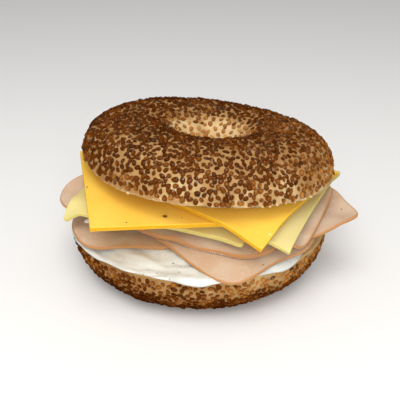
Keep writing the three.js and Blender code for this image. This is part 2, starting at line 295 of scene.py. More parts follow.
# %% [markdown]
# ## Camera, floor and light
# The photograph looks down on the bagel from about 25 degrees, from quite near. The camera looks
# at the middle of the sandwich. The light is that of a product shot on white: one large soft
# source above, one in front near the camera, and a bright background. One small lamp puts
# glints on what is wet or glazed. The food mirrors nothing else of the studio, because so much
# white would turn the dark seeds grey.

# %% Camera
VIEW_ELEVATION = math.radians(25.03)
VIEW_DISTANCE = 300 * MM
VIEW_LENS = 59.07  # millimetres, like the sensor's width
VIEW_SENSOR = 36
VIEW_NEAREST = 10 * MM
VIEW_HEIGHT = 28.77 * MM

looked_at = centre + Vector((0, 0, VIEW_HEIGHT))
back = Vector((0, -math.cos(VIEW_ELEVATION), math.sin(VIEW_ELEVATION)))
camera = bpy.data.objects.new("camera", bpy.data.cameras.new("camera"))
camera.data.lens = VIEW_LENS
camera.data.sensor_width = VIEW_SENSOR
camera.data.clip_start = VIEW_NEAREST
camera.location = looked_at + back * VIEW_DISTANCE
camera.rotation_euler = (-back).to_track_quat("-Z", "Y").to_euler()
bpy.context.scene.collection.objects.link(camera)
bpy.context.scene.camera = camera
print("camera at, mm:", [round(v / MM) for v in camera.location])

# %% Floor and background
FLOOR_SIDE = 6.0
SKY_STRENGTH = 0.52

floor_mesh = bmesh.new()
bmesh.ops.create_grid(floor_mesh, x_segments=1, y_segments=1, size=FLOOR_SIDE / 2)
floor = piece_from("floor", floor_mesh)
floor_paint, tree, shader = start_material("floor_paint")
fill(tree, shader, {"Base Color": (0.9, 0.9, 0.9, 1), "Roughness": 0.9})
floor.data.materials.append(floor_paint)
floor.visible_glossy = False

world = bpy.data.worlds.new("studio")
world.use_nodes = True
sky = world.node_tree
fill(sky, sky.nodes["Background"], {"Color": (1.0, 0.99, 0.97, 1), "Strength": SKY_STRENGTH})
world.cycles_visibility.glossy = False
bpy.context.scene.world = world
bpy.context.scene.view_settings.view_transform = "Standard"


# %% Lights
def soft_light(name, place, size, power, colour=(1, 1, 1), glint=False):
    """A square lamp that lights the food, or one that only shines back from it."""
    light = bpy.data.objects.new(name, bpy.data.lights.new(name, "AREA"))
    light.visible_glossy = glint
    light.visible_diffuse = not glint
    light.data.size = size
    light.data.energy = power
    light.data.color = colour
    light.location = place
    aim = looked_at - Vector(place)
    light.rotation_euler = aim.to_track_quat("-Z", "Y").to_euler()
    bpy.context.scene.collection.objects.link(light)


soft_light("overhead", place=(-0.07, -0.4, 0.7), size=0.5, power=3.5, colour=(1.0, 0.98, 0.95))
soft_light("front", place=(0.03, -0.8, 0.36), size=0.45, power=3.6)
soft_light("lamp", place=(0.06, -0.42, 0.68), size=0.14, power=6, glint=True)
print("lights:", [light.name for light in bpy.data.lights])


# %% [markdown]
# ## The two halves of the roll
# The arch could be a curve with a screw modifier, but a spun bmesh profile gives the mesh at
# once. The profile is drawn once, from the outer cut edge over the crest to the hole and back
# along the cut, and spun round. Then the slow waves and the dough's own unevenness move it.

# %% The arch
ARCH_STEPS = 72
CUT_STEPS = 34
SPIN_STEPS = 300
SEED_ROOM = 0.35 * MM  # the bare crust lies this much inside the outline that the seeds make


def uneven(waves, angle):
    (two, two_phase), (three, three_phase) = waves
    return 1 + two * math.cos(2 * angle + two_phase) + three * math.cos(3 * angle + three_phase)


def foot_of(shape):
    """Where the middle of the arch's foot is, and how far the foot reaches from there."""
    return (shape["radius"] + HOLE_RADIUS) / 2, (shape["radius"] - HOLE_RADIUS) / 2


def arch_point(shape, turn):
    middle, reach = foot_of(shape)
    power = 2 / shape["squareness"]
    across = math.cos(turn * math.pi)
    outward = math.copysign(abs(across) ** power, across)
    height = abs(math.sin(turn * math.pi)) ** power * shape["height"]
    return Vector((middle + reach * outward, 0, height))


def made_uneven(shape, place):
    angle = math.atan2(place.y, place.x)
    wide = uneven(shape["radius_waves"], angle)
    high = place.z * uneven(shape["height_waves"], angle)
    return Vector((place.x * wide, place.y * wide, min(high, shape["floor"])))


def crust_point(shape, angle, turn):
    return made_uneven(shape, Matrix.Rotation(angle, 3, "Z") @ arch_point(shape, turn))


def crust_normal(shape, angle, turn):
    step = 1e-3
    place = crust_point(shape, angle, turn)
    along = crust_point(shape, angle + step, turn) - place
    upward = crust_point(shape, angle, turn + step) - place
    return along.cross(upward).normalized()


def turn_of(shape, place):
    """How far over the arch a place on the crust is: 0 at the rim, 1 at the hole."""
    middle, reach = foot_of(shape)
    angle = math.atan2(place.y, place.x)
    r = math.hypot(place.x, place.y) / uneven(shape["radius_waves"], angle)
    outward = min(max((r - middle) / reach, -1.0), 1.0)
    across = math.copysign(abs(outward) ** (shape["squareness"] / 2), outward)
    return math.acos(across) / math.pi


def dough_relief(shape, place):
    """How far the baked skin stands out of the even arch, in metres."""
    swell = 0.4 * field(place, 16) + 0.22 * field(place, 6, 1) + 0.1 * field(place, 2.6, 2)
    torn = (1 - smooth(place.z, 0.3 * MM, 3 * MM)) * 0.45 * field(place, 3.2, 3)
    resting = smooth(shape["floor"] - place.z, 0.2 * MM, 3 * MM) if shape is BOTTOM_SHAPE else 1
    return (swell + torn) * MM * resting - SEED_ROOM * resting


# %% [markdown]
# How brown the crust is goes with the place: the crest sees the oven's heat and is golden, the
# wall of the hole and the stretch by the cut stay pale. It is worked out here for each point of
# the crust, from 0, pale, to 1, brown.

# %% How brown the crust is, with painted shade on the lower half
FRONT_RIGHT = math.radians(-35)  # directions as seen from above
DARK_LEFT = math.radians(195)


def top_bake(place):
    turn = turn_of(TOP_SHAPE, place)
    angle = math.atan2(place.y, place.x)
    hole = smooth(turn, 0.64, 0.8)
    rim = 1 - smooth(turn, 0.04, 0.26)
    right = toward(angle, FRONT_RIGHT)
    even = 0.46 + 0.3 * field(place, 13, 4) + 0.16 * field(place, 4, 5)
    return min(max(even - 0.5 * hole - rim * (0.1 + 0.2 * right), 0.0), 1.0)


# The lower half is painted darker towards its base, as shade on the lower wall that faces down,
# and darker on the left.
def bottom_bake_and_shade(place):
    turn = turn_of(BOTTOM_SHAPE, place)
    angle = math.atan2(-place.y, place.x)
    left = toward(angle, DARK_LEFT)
    # painted shade: darker towards the base
    base = smooth(turn, 0.07, 0.24)
    hole = smooth(turn, 0.7, 0.9)
    even = 0.28 + 0.2 * field(place, 12, 6) + 0.16 * field(place, 4, 7)
    return min(max(even + 0.45 * base + 0.4 * left - 0.3 * hole, 0.0), 1.0)


# %% [markdown]
# The knife didn't follow one plane: in front the upper half's crust ends a little higher than
# its cut does elsewhere, and everywhere the lip of the cut is torn. So the points of the upper
# cut are raised by a small wandering height before the crust gets its relief. The lower cut
# lies under the spread and stays flat.

# %% The torn cut
TOP_CUT_RISES = ((-82, 34, 1.5), (-158, 12, 2.0))  # direction and width in degrees, millimetres
TEAR = 0.35  # millimetres, like the rises' heights


def top_cut_height(place):
    degrees = math.degrees(math.atan2(place.y, place.x))
    rise = TEAR * field(Vector((place.x, place.y, 0)), 6, 30)
    for towards, width, height in TOP_CUT_RISES:
        away = (degrees - towards + 180) % 360 - 180
        rise += height * math.exp(-((away / width) ** 2))
    return rise * MM * smooth(math.hypot(place.x, place.y), 40 * MM, 52 * MM)


def bottom_cut_height(place):
    return 0.0


# %% Make a half
ON_CUT = 0.02 * MM  # a point no higher than this lies on the cut


def bread_half(name, shape, place_matrix, bake_and_shade, cut_height):
    bm = bmesh.new()
    profile = [bm.verts.new(arch_point(shape, k / ARCH_STEPS)) for k in range(ARCH_STEPS + 1)]
    for k in range(1, CUT_STEPS):
        r = lerp(HOLE_RADIUS, shape["radius"], k / CUT_STEPS)
        profile.append(bm.verts.new((r, 0, 0)))
    edges = [bm.edges.new(pair) for pair in zip(profile, profile[1:] + profile[:1])]
    bmesh.ops.spin(
        bm, geom=profile + edges, cent=(0, 0, 0), axis=(0, 0, 1),
        angle=FULL_TURN, steps=SPIN_STEPS, use_merge=True,
    )
    bmesh.ops.recalc_face_normals(bm, faces=bm.faces)
    for vert in bm.verts:
        vert.co = made_uneven(shape, vert.co)
        vert.co.z = max(vert.co.z, cut_height(vert.co))
    bm.normal_update()
    browned_and_shaded = []
    crumb = []
    moved = []
    for vert in bm.verts:
        height = vert.co.z - cut_height(vert.co)
        cut = height < ON_CUT
        edge = smooth(height, 0.05 * MM, (0.35 + 0.3 * field(vert.co, 5, 8)) * MM)
        pores = max(0.0, field(vert.co, 2.4, 9)) * 1.1 * MM + 0.3 * MM * field(vert.co, 7, 10)
        out = -pores if cut else dough_relief(shape, vert.co)
        browned_and_shaded.append(bake_and_shade(vert.co))
        crumb.append(1 - edge)
        moved.append(vert.co + vert.normal * out)
    for vert, spot in zip(bm.verts, moved):
        vert.co = place_matrix @ spot
    piece = piece_from(name, bm)
    keep_values(piece, "bake_and_shade", browned_and_shaded)
    keep_values(piece, "crumb", crumb)
    return piece


top_crust = bread_half("top_crust", TOP_SHAPE, top_place, top_bake, top_cut_height)
bottom_crust = bread_half(
    "bottom_crust", BOTTOM_SHAPE, bottom_place, bottom_bake_and_shade, bottom_cut_height,
)
print("crust points:", len(top_crust.data.vertices), len(bottom_crust.data.vertices))

# %% [markdown]
# The crust's colour runs from pale dough to golden brown with the baking, in soft patches, and on
# the lower half it also paints the shade towards the base. The cut shows the crumb, which is a
# light tan, full of small pores and duller than the crust.

# %% Crust material
crust, tree, shader = start_material("glazed_crust")
# The bake value holds the baking and, on the lower half, the painted shade towards the base.
browning_and_shade = attribute(tree, "bake_and_shade")
patchy = put(tree, "ShaderNodeMath", {
    0: soft_patches(tree, 260, 0.3, 0.75), 1: browning_and_shade,
}, operation="MULTIPLY")
baked = put(tree, "ShaderNodeMath", {0: browning_and_shade, 1: patchy.outputs[0]}, operation="ADD")
golden = ramp(
    tree, baked.outputs[0],
    (0.0, (0.68, 0.49, 0.25)),
    (0.4, (0.42, 0.238, 0.092)),
    (0.8, (0.34, 0.17, 0.055)),
    (1.0, (0.26, 0.11, 0.033)),
)
pore_mask = soft_patches(tree, 520, 0.42, 0.62)
crumb_colour = blend(tree, pore_mask, (0.56, 0.4, 0.2), (0.5, 0.33, 0.15))
crumb_mask = attribute(tree, "crumb")
rough = put(tree, "ShaderNodeMapRange", {"Value": crumb_mask, "To Min": 0.4, "To Max": 0.85})
fill(tree, shader, {
    "Base Color": blend(tree, crumb_mask, golden, crumb_colour),
    "Roughness": rough.outputs["Result"],
    "Specular IOR Level": 0.03,
    "Normal": uneven_skin(tree, 900, 0.00035, 0.6),
    **let_light_in(0.08, (0.002, 0.001, 0.0005)),
})

finish_piece(top_crust, crust, "crust", "bun_top")
finish_piece(bottom_crust, crust, "crust", "bun_bottom")

# %% [markdown]
# ## Sesame seeds
# Thousands of seeds cover the roll. A particle system could scatter them, but the export keeps
# only real mesh, so each half's seeds are one joined mesh: a single drop-shaped seed with a few
# dozen faces, repeated by an array of places. The places are drawn at random and kept only
# where no other seed is too near, which packs them as closely and evenly as real ones.

# %% One seed
SEED_LENGTH = 2.75 * MM
SEED_WIDTH = 2.02 * MM
SEED_THICKNESS = 1.15 * MM
SEED_POINTED = 0.28
SEED_SEGMENTS = 8
SEED_RINGS = 5
# Painted shade: a seed is painted darker low down, where it meets the crust.
SEED_CONTACT_SHADE = 0.3  # how much darker a seed is where it meets the crust


def points_and_faces(bm):
    points = np.array([vert.co[:] for vert in bm.verts])
    faces = [[vert.index for vert in face.verts] for face in bm.faces]
    bm.free()
    return points, faces


def seed_shape():
    bm = bmesh.new()
    bmesh.ops.create_uvsphere(bm, u_segments=SEED_SEGMENTS, v_segments=SEED_RINGS, radius=1.0)
    for vert in bm.verts:
        narrow = 1 - SEED_POINTED * vert.co.x
        vert.co.x *= SEED_LENGTH / 2
        vert.co.y *= narrow * SEED_WIDTH / 2
        vert.co.z *= SEED_THICKNESS / 2
    return points_and_faces(bm)


def joined_copies(name, shape, places, values):
    """One mesh of many copies: each place is a 4 by 4 matrix, each value a number it keeps."""
    points, faces = shape
    matrices = np.array([np.array(place) for place in places])
    turned = np.einsum("nij,pj->npi", matrices[:, :3, :3], points)
    spots = (turned + matrices[:, None, :3, 3]).reshape(-1, 3)
    count = len(points)
    corners = [[i + n * count for i in face] for n in range(len(places)) for face in faces]
    mesh = bpy.data.meshes.new(name)
    mesh.from_pydata(spots.tolist(), [], corners)
    piece = bpy.data.objects.new(name, mesh)
    bpy.context.scene.collection.objects.link(piece)
    # The lower part of every copy is painted darker, as shade where it meets what it lies on.
    foot = 1 - np.clip(points[:, 2] / points[:, 2].max(), 0, 1)
    keep_values(piece, "tone_and_shade", (np.array(values)[:, None] + SEED_CONTACT_SHADE * (foot - 0.5)).ravel())
    return piece


# %% Where seeds lie
SPOT_CELL = 4 * MM  # wider than any gap between seeds
SEED_TILT = 0.2


class Spots:
    """Places already taken, in a grid of cells, so that near ones are found quickly."""

    def __init__(self, cell):
        self.cell = cell
        self.taken = {}

    def key(self, place):
        return tuple(int(v // self.cell) for v in place)

    def free(self, place, gap):
        x, y, z = self.key(place)
        for i in (x - 1, x, x + 1):
            for j in (y - 1, y, y + 1):
                for k in (z - 1, z, z + 1):
                    for other in self.taken.get((i, j, k), ()):
                        if (other - place).length < gap:
                            return False
        return True

    def take(self, place):
        self.taken.setdefault(self.key(place), []).append(place)


def seed_places(shape, turns, gap_at, tone_at, tries, seed):
    rng = random.Random(seed)
    spots = Spots(SPOT_CELL)
    places = []
    tones = []
    for _ in range(tries):
        angle = rng.uniform(0, FULL_TURN)
        turn = rng.uniform(*turns)
        spot = crust_point(shape, angle, turn)
        if rng.random() * shape["radius"] > math.hypot(spot.x, spot.y):
            continue  # the ring is shorter near the hole, so fewer tries count there
        gap = gap_at(angle, turn, spot)
        if gap is None or not spots.free(spot, gap):
            continue
        spots.take(spot)
        normal = crust_normal(shape, angle, turn)
        sunk = rng.uniform(-0.22, 0.1) * SEED_THICKNESS
        size = rng.uniform(0.8, 1.14)
        endways = Matrix.Rotation(rng.gauss(0, SEED_TILT), 4, "X")
        sideways = Matrix.Rotation(rng.gauss(0, SEED_TILT), 4, "Y")
        facing = normal.to_track_quat("Z", "Y").to_matrix().to_4x4()
        spin = Matrix.Rotation(rng.uniform(0, FULL_TURN), 4, "Z")
        lift = dough_relief(shape, spot) - sunk
        place = Matrix.Translation(spot + normal * lift) @ facing @ (endways @ sideways)
        places.append(place @ spin @ Matrix.Scale(size, 4))
        tones.append(min(max(tone_at(turn, spot) + rng.gauss(0, 0.11), 0.0), 1.0))
    return places, tones


# %% [markdown]
# The top is thick with dark seeds. They are sparser and lighter down the wall of the hole,
# along the cut and towards the far right. A few soft clearings show the crust.

# %% Seeds of the top half
TOP_GAP = 1.79  # millimetres between the middles of two seeds


def far_right(spot):
    return smooth(spot.x, 20 * MM, 50 * MM)


def top_gap(angle, turn, spot):
    clear = 0.5 * smooth(field(spot, 5, 11), 0.1, 0.5)
    right = toward(angle, FRONT_RIGHT)
    rim = (1 - smooth(turn, 0.04, 0.14)) * 0.25 * right
    hole = 0.45 * smooth(turn, 0.62, 0.78)
    return (TOP_GAP + clear + rim + hole + 0.25 * far_right(spot)) * MM


def top_tone(turn, spot):
    rim = 1 - smooth(turn, 0.05, 0.14)
    even = 0.88 + 0.14 * field(spot, 14, 12) - 0.5 * smooth(turn, 0.64, 0.8)
    return even - 0.14 * rim - 0.28 * far_right(spot)


places, tones = seed_places(
    TOP_SHAPE, (0.025, 0.93), top_gap, top_tone, tries=110000, seed=7,
)
one_seed = seed_shape()
top_seeds = joined_copies("top_seeds", one_seed, [top_place @ m for m in places], tones)
print("seeds on the top half:", len(places))


# %% [markdown]
# The lower half has lighter seeds on pale dough near the cut, and darker ones on the left and
# towards its base, where the darkening paints the shade on the lower wall that faces down.

# %% Seeds of the bottom half
BOTTOM_GAP = 1.9
SEEDED_LEFT = math.radians(200)


def bottom_gap(angle, turn, spot):
    if spot.z > BOTTOM_HEIGHT - 0.05 * MM:
        return None  # no seed lies under the flat base
    clear = 0.7 * smooth(field(spot, 5, 13), 0.1, 0.5)
    left = toward(-angle, SEEDED_LEFT)
    upper = 1 - smooth(turn, 0.06, 0.18)
    return (BOTTOM_GAP + clear + 0.2 * upper * (1 - 0.6 * left)) * MM


def bottom_tone(turn, spot):
    left = toward(math.atan2(-spot.y, spot.x), SEEDED_LEFT)
    # painted shade: darker towards the base
    return 0.52 + 0.26 * field(spot, 8, 14) + 0.28 * smooth(turn, 0.07, 0.18) + 0.25 * left


places, tones = seed_places(
    BOTTOM_SHAPE, (0.03, 0.36), bottom_gap, bottom_tone, tries=60000, seed=23,
)
bottom_seeds = joined_copies("bottom_seeds", one_seed, [bottom_place @ m for m in places], tones)
print("seeds on the bottom half:", len(places))

# %% Seed material
seed_skin, tree, shader = start_material("toasted_sesame")
# The tone holds each seed's own colour and the painted shade low down, where it meets the crust.
toasted = ramp(
    tree, attribute(tree, "tone_and_shade"),
    (0.0, (0.62, 0.33, 0.09)),
    (0.35, (0.42, 0.16, 0.028)),
    (0.65, (0.142, 0.036, 0.004)),
    (1.0, (0.052, 0.011, 0.001)),
)
fill(tree, shader, {
    "Base Color": toasted,
    "Roughness": 0.5,
    "Specular IOR Level": 0.0,
    "Coat Weight": 1.0,
    "Coat Roughness": 0.04,
    "Coat IOR": 1.4,
    "Normal": uneven_skin(tree, 1600, 0.00012, 0.1),
})

finish_piece(top_seeds, seed_skin, "crust")
finish_piece(bottom_seeds, seed_skin, "crust")


# %% [markdown]
# ## The spread
# The white spread is a soft ring on the lower cut face that bulges over the edge in front. The
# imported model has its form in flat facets. A copy of that mesh is merged, its triangles are
# joined to quads, and subdivision makes them soft. Then low swirls from the knife are added.

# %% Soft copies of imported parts
SAME_POINT = 0.01 * MM  # points this near are one
SOFT_LEVELS = 3
OUTLINE_PASSES = 4
RIM_OUT = 0.7 * MM  # what the rounded, slanting side takes off the outline
RIM_DOWN = 0.35 * MM


def widen_outline(bm):
    """Subdivision pulls a curved rim inwards, so its points first move out by as much."""
    rim = [vert for vert in bm.verts if vert.is_boundary]
    wanted = {vert: vert.co.copy() for vert in rim}
    beside = {
        vert: [edge.other_vert(vert) for edge in vert.link_edges if edge.is_boundary]
        for vert in rim
    }
    for _ in range(OUTLINE_PASSES):
        reached = {
            vert: (4 * vert.co + beside[vert][0].co + beside[vert][1].co) / 6 for vert in rim
        }
        for vert in rim:
            vert.co += wanted[vert] - reached[vert]
    middle = sum((vert.co for vert in rim), Vector()) / len(rim)
    for vert in rim:
        vert.co += (vert.co - middle).normalized() * RIM_OUT - Vector((0, 0, RIM_DOWN))


def smooth_copy(name, node, keep_face=None, rounded=False):
    bm = bmesh.new()
    bm.from_mesh(frame["nodes"][node].data)
    bmesh.ops.remove_doubles(bm, verts=bm.verts, dist=SAME_POINT)
    bm.normal_update()
    if keep_face:
        unwanted = [face for face in bm.faces if not keep_face(face)]
        bmesh.ops.delete(bm, geom=unwanted, context="FACES")
    bmesh.ops.join_triangles(
        bm, faces=bm.faces, angle_face_threshold=math.pi, angle_shape_threshold=math.pi,
    )
    if rounded:
        widen_outline(bm)
    piece = piece_from(name, bm)
    soft = piece.modifiers.new("soft", "SUBSURF")
    soft.levels = soft.render_levels = SOFT_LEVELS
    soft.boundary_smooth = "ALL" if rounded else "PRESERVE_CORNERS"
    settle(piece)
    return piece


def push_out(piece, relief):
    bm = bmesh.new()
    bm.from_mesh(piece.data)
    moved = [vert.co + vert.normal * relief(vert.co) for vert in bm.verts]
    for vert, spot in zip(bm.verts, moved):
        vert.co = spot
    bm.to_mesh(piece.data)
    bm.free()


STROKE_GAP = 1.9 * MM


def knife_swirls(place):
    angle = math.atan2(place.y - centre.y, place.x - centre.x)
    r = (place - centre).xy.length
    along = Vector((angle * 20 * MM, r, place.z))  # so that ridges are longer than wide
    stroke = math.sin(r / STROKE_GAP + 2.4 * math.sin(3 * angle) + 4 * field(place, 15, 15))
    return (0.22 * stroke + 1.1 * field(along, 5, 16) + 0.4 * field(along, 2.2, 17)) * MM


# %% [markdown]
# Under the slice that hangs over in front, the pressed-out spread runs a little down the crust.

# %% Let the spread run down
RUN_TOWARDS = math.radians(274)
RUN_WIDTH = math.radians(11)
RUN_OUT = 2.3 * MM
OUT_RANGE = (47 * MM, 55 * MM)  # from the roll's middle, where the push sets in and is full
RUN_DOWN = 1.2 * MM
DOWN_RANGE = (57.6 * MM, 59.4 * MM)  # past the edge of the crust


def run_down(piece):
    for vert in piece.data.vertices:
        flat = (vert.co - centre).xy
        away = (math.atan2(flat.y, flat.x) - RUN_TOWARDS + math.pi) % FULL_TURN - math.pi
        share = math.exp(-((away / RUN_WIDTH) ** 4))
        out = RUN_OUT * share * smooth(flat.length, *OUT_RANGE)
        down = RUN_DOWN * share * smooth(flat.length + out, *DOWN_RANGE)
        vert.co += Vector((flat.x, flat.y, 0)).normalized() * out - Vector((0, 0, down))


spread_coat = smooth_copy("spread_coat", "spread")
run_down(spread_coat)
push_out(spread_coat, knife_swirls)

# %% Spread material
cream, tree, shader = start_material("white_spread")
tint = blend(tree, soft_patches(tree, 150, 0.35, 0.65), (0.71, 0.72, 0.69), (0.63, 0.65, 0.61))
fill(tree, shader, {
    "Base Color": tint,
    "Roughness": 0.17,
    "Specular IOR Level": 0.6,
    "Normal": uneven_skin(tree, 420, 0.0002, 0.4),
    **let_light_in(0.15, (0.002, 0.0018, 0.0014)),
})
finish_piece(spread_coat, cream, "spread", "spread")

# %% [markdown]
# ## Slices
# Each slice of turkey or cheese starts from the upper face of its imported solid. Only the faces
# that look up are kept, subdivided and given a fine relief. Solidify then gives the sheet its
# thickness and a narrow bevel takes the sharpness off its edge. Each point keeps how near the
# rim it is, and whether it is on the side, for the materials.

# %% Make a slice
EDGE_STEPS = 5  # samples along each edge of the outline
RIM_WIDTH = 2.5 * MM
UPWARD = 0.2  # the faces of the upper side have normals that rise more than this
BEVEL_STEPS = 3
SHARP = math.radians(50)  # edges that bend more than this are bevelled


def rim_points(mesh):
    bm = bmesh.new()
    bm.from_mesh(mesh)
    samples = []
    for edge in bm.edges:
        if edge.is_boundary:
            a, b = (vert.co.copy() for vert in edge.verts)
            samples += [a.lerp(b, k / EDGE_STEPS) for k in range(EDGE_STEPS)]
    bm.free()
    outline = KDTree(len(samples))
    for i, sample in enumerate(samples):
        outline.insert(Vector((sample.x, sample.y, 0)), i)
    outline.balance()
    return outline


def looks_up(face):
    return face.normal.z > UPWARD


def make_slice(name, node, thickness, edge, relief, rounded=False):
    piece = smooth_copy(name, node, looks_up, rounded)
    outline = rim_points(piece.data)
    push_out(piece, relief)
    wall = piece.modifiers.new("wall", "SOLIDIFY")
    wall.thickness = thickness
    wall.offset = -1  # downwards from the face
    wall.use_even_offset = True
    soft = piece.modifiers.new("soft", "BEVEL")
    soft.width = edge
    soft.segments = BEVEL_STEPS
    soft.limit_method = "ANGLE"
    soft.angle_limit = SHARP
    settle(piece)
    rims = []
    sides = []
    for vert in piece.data.vertices:
        _, _, away = outline.find(Vector((vert.co.x, vert.co.y, 0)))
        rims.append(max(0.0, 1 - away / RIM_WIDTH))
        # How far a point faces sideways; the cheese uses it to paint shade on its sides.
        sides.append(1 - abs(vert.normal.z))
    keep_values(piece, "rim", rims)
    keep_values(piece, "side", sides)
    return piece


# %% [markdown]
# The turkey is thin, moist and a little wrinkled. Its colour goes from pink to pale in soft
# patches with faint fibres, and a narrow roasted band runs round the rim.

# %% Turkey material
turkey, tree, shader = start_material("roast_turkey")
meat = blend(tree, soft_patches(tree, 130, 0.35, 0.7), (0.585, 0.405, 0.28), (0.61, 0.47, 0.345))
fibres = blend(tree, soft_patches(tree, 620, 0.5, 0.72, detail=5.0), meat, (0.62, 0.48, 0.37))
roast = ramp(
    tree, attribute(tree, "rim"),
    (0.0, (0, 0, 0)),
    (0.7, (0, 0, 0)),
    (0.9, (1, 1, 1)),
)
fill(tree, shader, {
    "Base Color": blend(tree, roast, fibres, (0.47, 0.24, 0.1)),
    "Roughness": 0.36,
    "Specular IOR Level": 0.07,
    "Normal": uneven_skin(tree, 500, 0.0002, 0.55),
    **let_light_in(0.2, (0.003, 0.0012, 0.0008)),
})

# %% Turkey slices
TURKEY = 1.4 * MM
TURKEY_FOLD = 2.2 * MM  # the fourth slice is folded double
TURKEY_EDGE = 0.45 * MM


def meat_relief(place):
    waves = 0.3 * field(place, 11, 20) + 0.16 * field(place, 4.5, 21)
    return (waves + 0.05 * field(place, 1.8, 22)) * MM


for number in range(1, 7):
    name = f"turkey_slice_{number}"
    node = f"turkey_{number}"
    thickness = TURKEY_FOLD if number == 4 else TURKEY
    piece = make_slice(name, node, thickness, TURKEY_EDGE, meat_relief, rounded=True)
    finish_piece(piece, turkey, "turkey", node)


# %% [markdown]
# Sliced cheese is smooth and waxy, with clean cut corners. Its face darkens a little towards the
# rim, and its cut sides get a darker colour of their own, as painted shade on the sides.

# %% Cheese materials
def cheese_material(name, face, patch, side, rim):
    material, tree, shader = start_material(name)
    body = blend(tree, soft_patches(tree, 45, 0.35, 0.65), face, patch)
    near_rim = put(tree, "ShaderNodeMapRange", {
        "Value": attribute(tree, "rim"), "To Max": 0.35,
    }, interpolation_type="SMOOTHSTEP")
    toward_rim = blend(tree, near_rim.outputs["Result"], body, rim)
    # Painted shade: the more a point faces sideways, the more it takes the darker side colour.
    cut = put(tree, "ShaderNodeMapRange", {
        "Value": attribute(tree, "side"), "From Min": 0.35, "From Max": 0.8,
    })
    fill(tree, shader, {
        "Base Color": blend(tree, cut.outputs["Result"], toward_rim, side),
        "Roughness": 0.4,
        "Specular IOR Level": 0.08,
        "Normal": uneven_skin(tree, 350, 0.00008, 0.4),
        **let_light_in(0.2, (0.003, 0.002, 0.0006)),
    })
    return material


# The side colours are darker than the faces, as painted shade on the cut sides.
yellow_cheese = cheese_material(
    "yellow_cheese",
    face=(0.98, 0.63, 0.1), patch=(0.95, 0.58, 0.08),
    side=(0.68, 0.36, 0.015), rim=(0.9, 0.52, 0.05),
)
pale_cheese = cheese_material(
    "pale_cheese",
    face=(0.73, 0.63, 0.26), patch=(0.7, 0.61, 0.28),
    side=(0.6, 0.51, 0.16), rim=(0.65, 0.58, 0.2),
)

# %% Cheese slices
CHEESE = 1.8 * MM
CHEESE_EDGE = 0.28 * MM


def cheese_relief(place):
    return (0.12 * field(place, 14, 23) + 0.03 * field(place, 3, 24)) * MM


cheeses = (
    ("pale_cheese_1", pale_cheese, "pale_cheese", True),
    ("pale_cheese_2", pale_cheese, "pale_cheese", False),
    ("yellow_cheese_1", yellow_cheese, "yellow_cheese", False),
    ("yellow_cheese_2", yellow_cheese, "yellow_cheese", False),
)
for node, material, slot, rounded in cheeses:
    name = node.replace("cheese", "slice")
    piece = make_slice(name, node, CHEESE, CHEESE_EDGE, cheese_relief, rounded)
    finish_piece(piece, material, slot, node)

# %% [markdown]
# ## Crumbs and specks
# A few small things lie on the food: pepper in the spread, dark crumbs, a fallen seed and bits
# of cheese on the slices, a dab of spread on the turkey and pale drops on it that paint its
# glints, torn dough along the upper cut, and four black seeds in the crust. Each is given by a
# rough place, and the nearest point of the piece that carries it is looked up, so nothing floats.

# %% Find places on a piece
def surface_of(piece):
    points = [vert.co for vert in piece.data.vertices]
    faces = [face.vertices for face in piece.data.polygons]
    return BVHTree.FromPolygons(points, faces)


def stuck_on(surface, spot, size, rng, sunk=0.25):
    """A matrix that lays a thing of that size, in metres, on the surface near a place."""
    place, normal, _, _ = surface.find_nearest(spot)
    facing = normal.to_track_quat("Z", "Y").to_matrix().to_4x4()
    spin = Matrix.Rotation(rng.uniform(0, FULL_TURN), 4, "Z")
    scale = Matrix.Diagonal((size, size * rng.uniform(0.6, 1), size * 0.5, 1))
    return Matrix.Translation(place - normal * size * sunk * 0.5) @ facing @ spin @ scale


def fleck_shape():
    bm = bmesh.new()
    bmesh.ops.create_icosphere(bm, subdivisions=2, radius=0.5)
    for vert in bm.verts:
        vert.co *= 1 + 0.25 * noise.noise(vert.co * 3)
    return points_and_faces(bm)


def in_bagel(x, y, z):
    """A place in millimetres from the middle of the roll's base."""
    return centre + Vector((x, y, z)) * MM


# %% Pepper in the spread
PEPPER_COUNT = 180
PEPPER_RING = (38, 60)  # millimetres, like the heights and sizes
PEPPER_HEIGHTS = (22, 27)
PEPPER_SIZES = (0.28, 0.6)
seen_pepper = ((-26, -38.6, 25.3), (-10.6, -48.4, 24.2), (-7.4, -50.2, 24), (-8.1, -53.8, 23.2))

rng = random.Random(41)
fleck = fleck_shape()
spread_surface = surface_of(spread_coat)
places = [stuck_on(spread_surface, in_bagel(*spot), 0.7 * MM, rng) for spot in seen_pepper]
for _ in range(PEPPER_COUNT):
    angle = rng.uniform(0, FULL_TURN)
    out = rng.uniform(*PEPPER_RING)
    height = rng.uniform(*PEPPER_HEIGHTS)
    spot = in_bagel(out * math.cos(angle), out * math.sin(angle), height)
    places.append(stuck_on(spread_surface, spot, rng.uniform(*PEPPER_SIZES) * MM, rng))
pepper = joined_copies("pepper", fleck, places, [rng.random() for _ in places])
print("pepper specks:", len(places))

# %% Crumbs on the slices
crumb_spots = (
    ("yellow_slice_1", (-27.5, -53.2, 44.4), 0.75),
    ("yellow_slice_1", (-45.9, -27.8, 47.6), 0.8),
    ("yellow_slice_1", (-7, -47, 43.5), 0.5),
    ("yellow_slice_2", (2, -46, 44), 0.45),
    ("turkey_slice_2", (24.5, -51.3, 24.9), 0.6),
    ("turkey_slice_3", (60.5, -19, 33.2), 0.8),
    ("turkey_slice_3", (55, -20, 32), 0.4),
)
places = []
for name, spot, size in crumb_spots:
    surface = surface_of(bpy.data.objects[name])
    places.append(stuck_on(surface, in_bagel(*spot), size * MM, rng, sunk=0.0))
crumbs = joined_copies("crumbs", fleck, places, [rng.uniform(0.5, 1) for _ in places])
print("crumbs:", len(places))

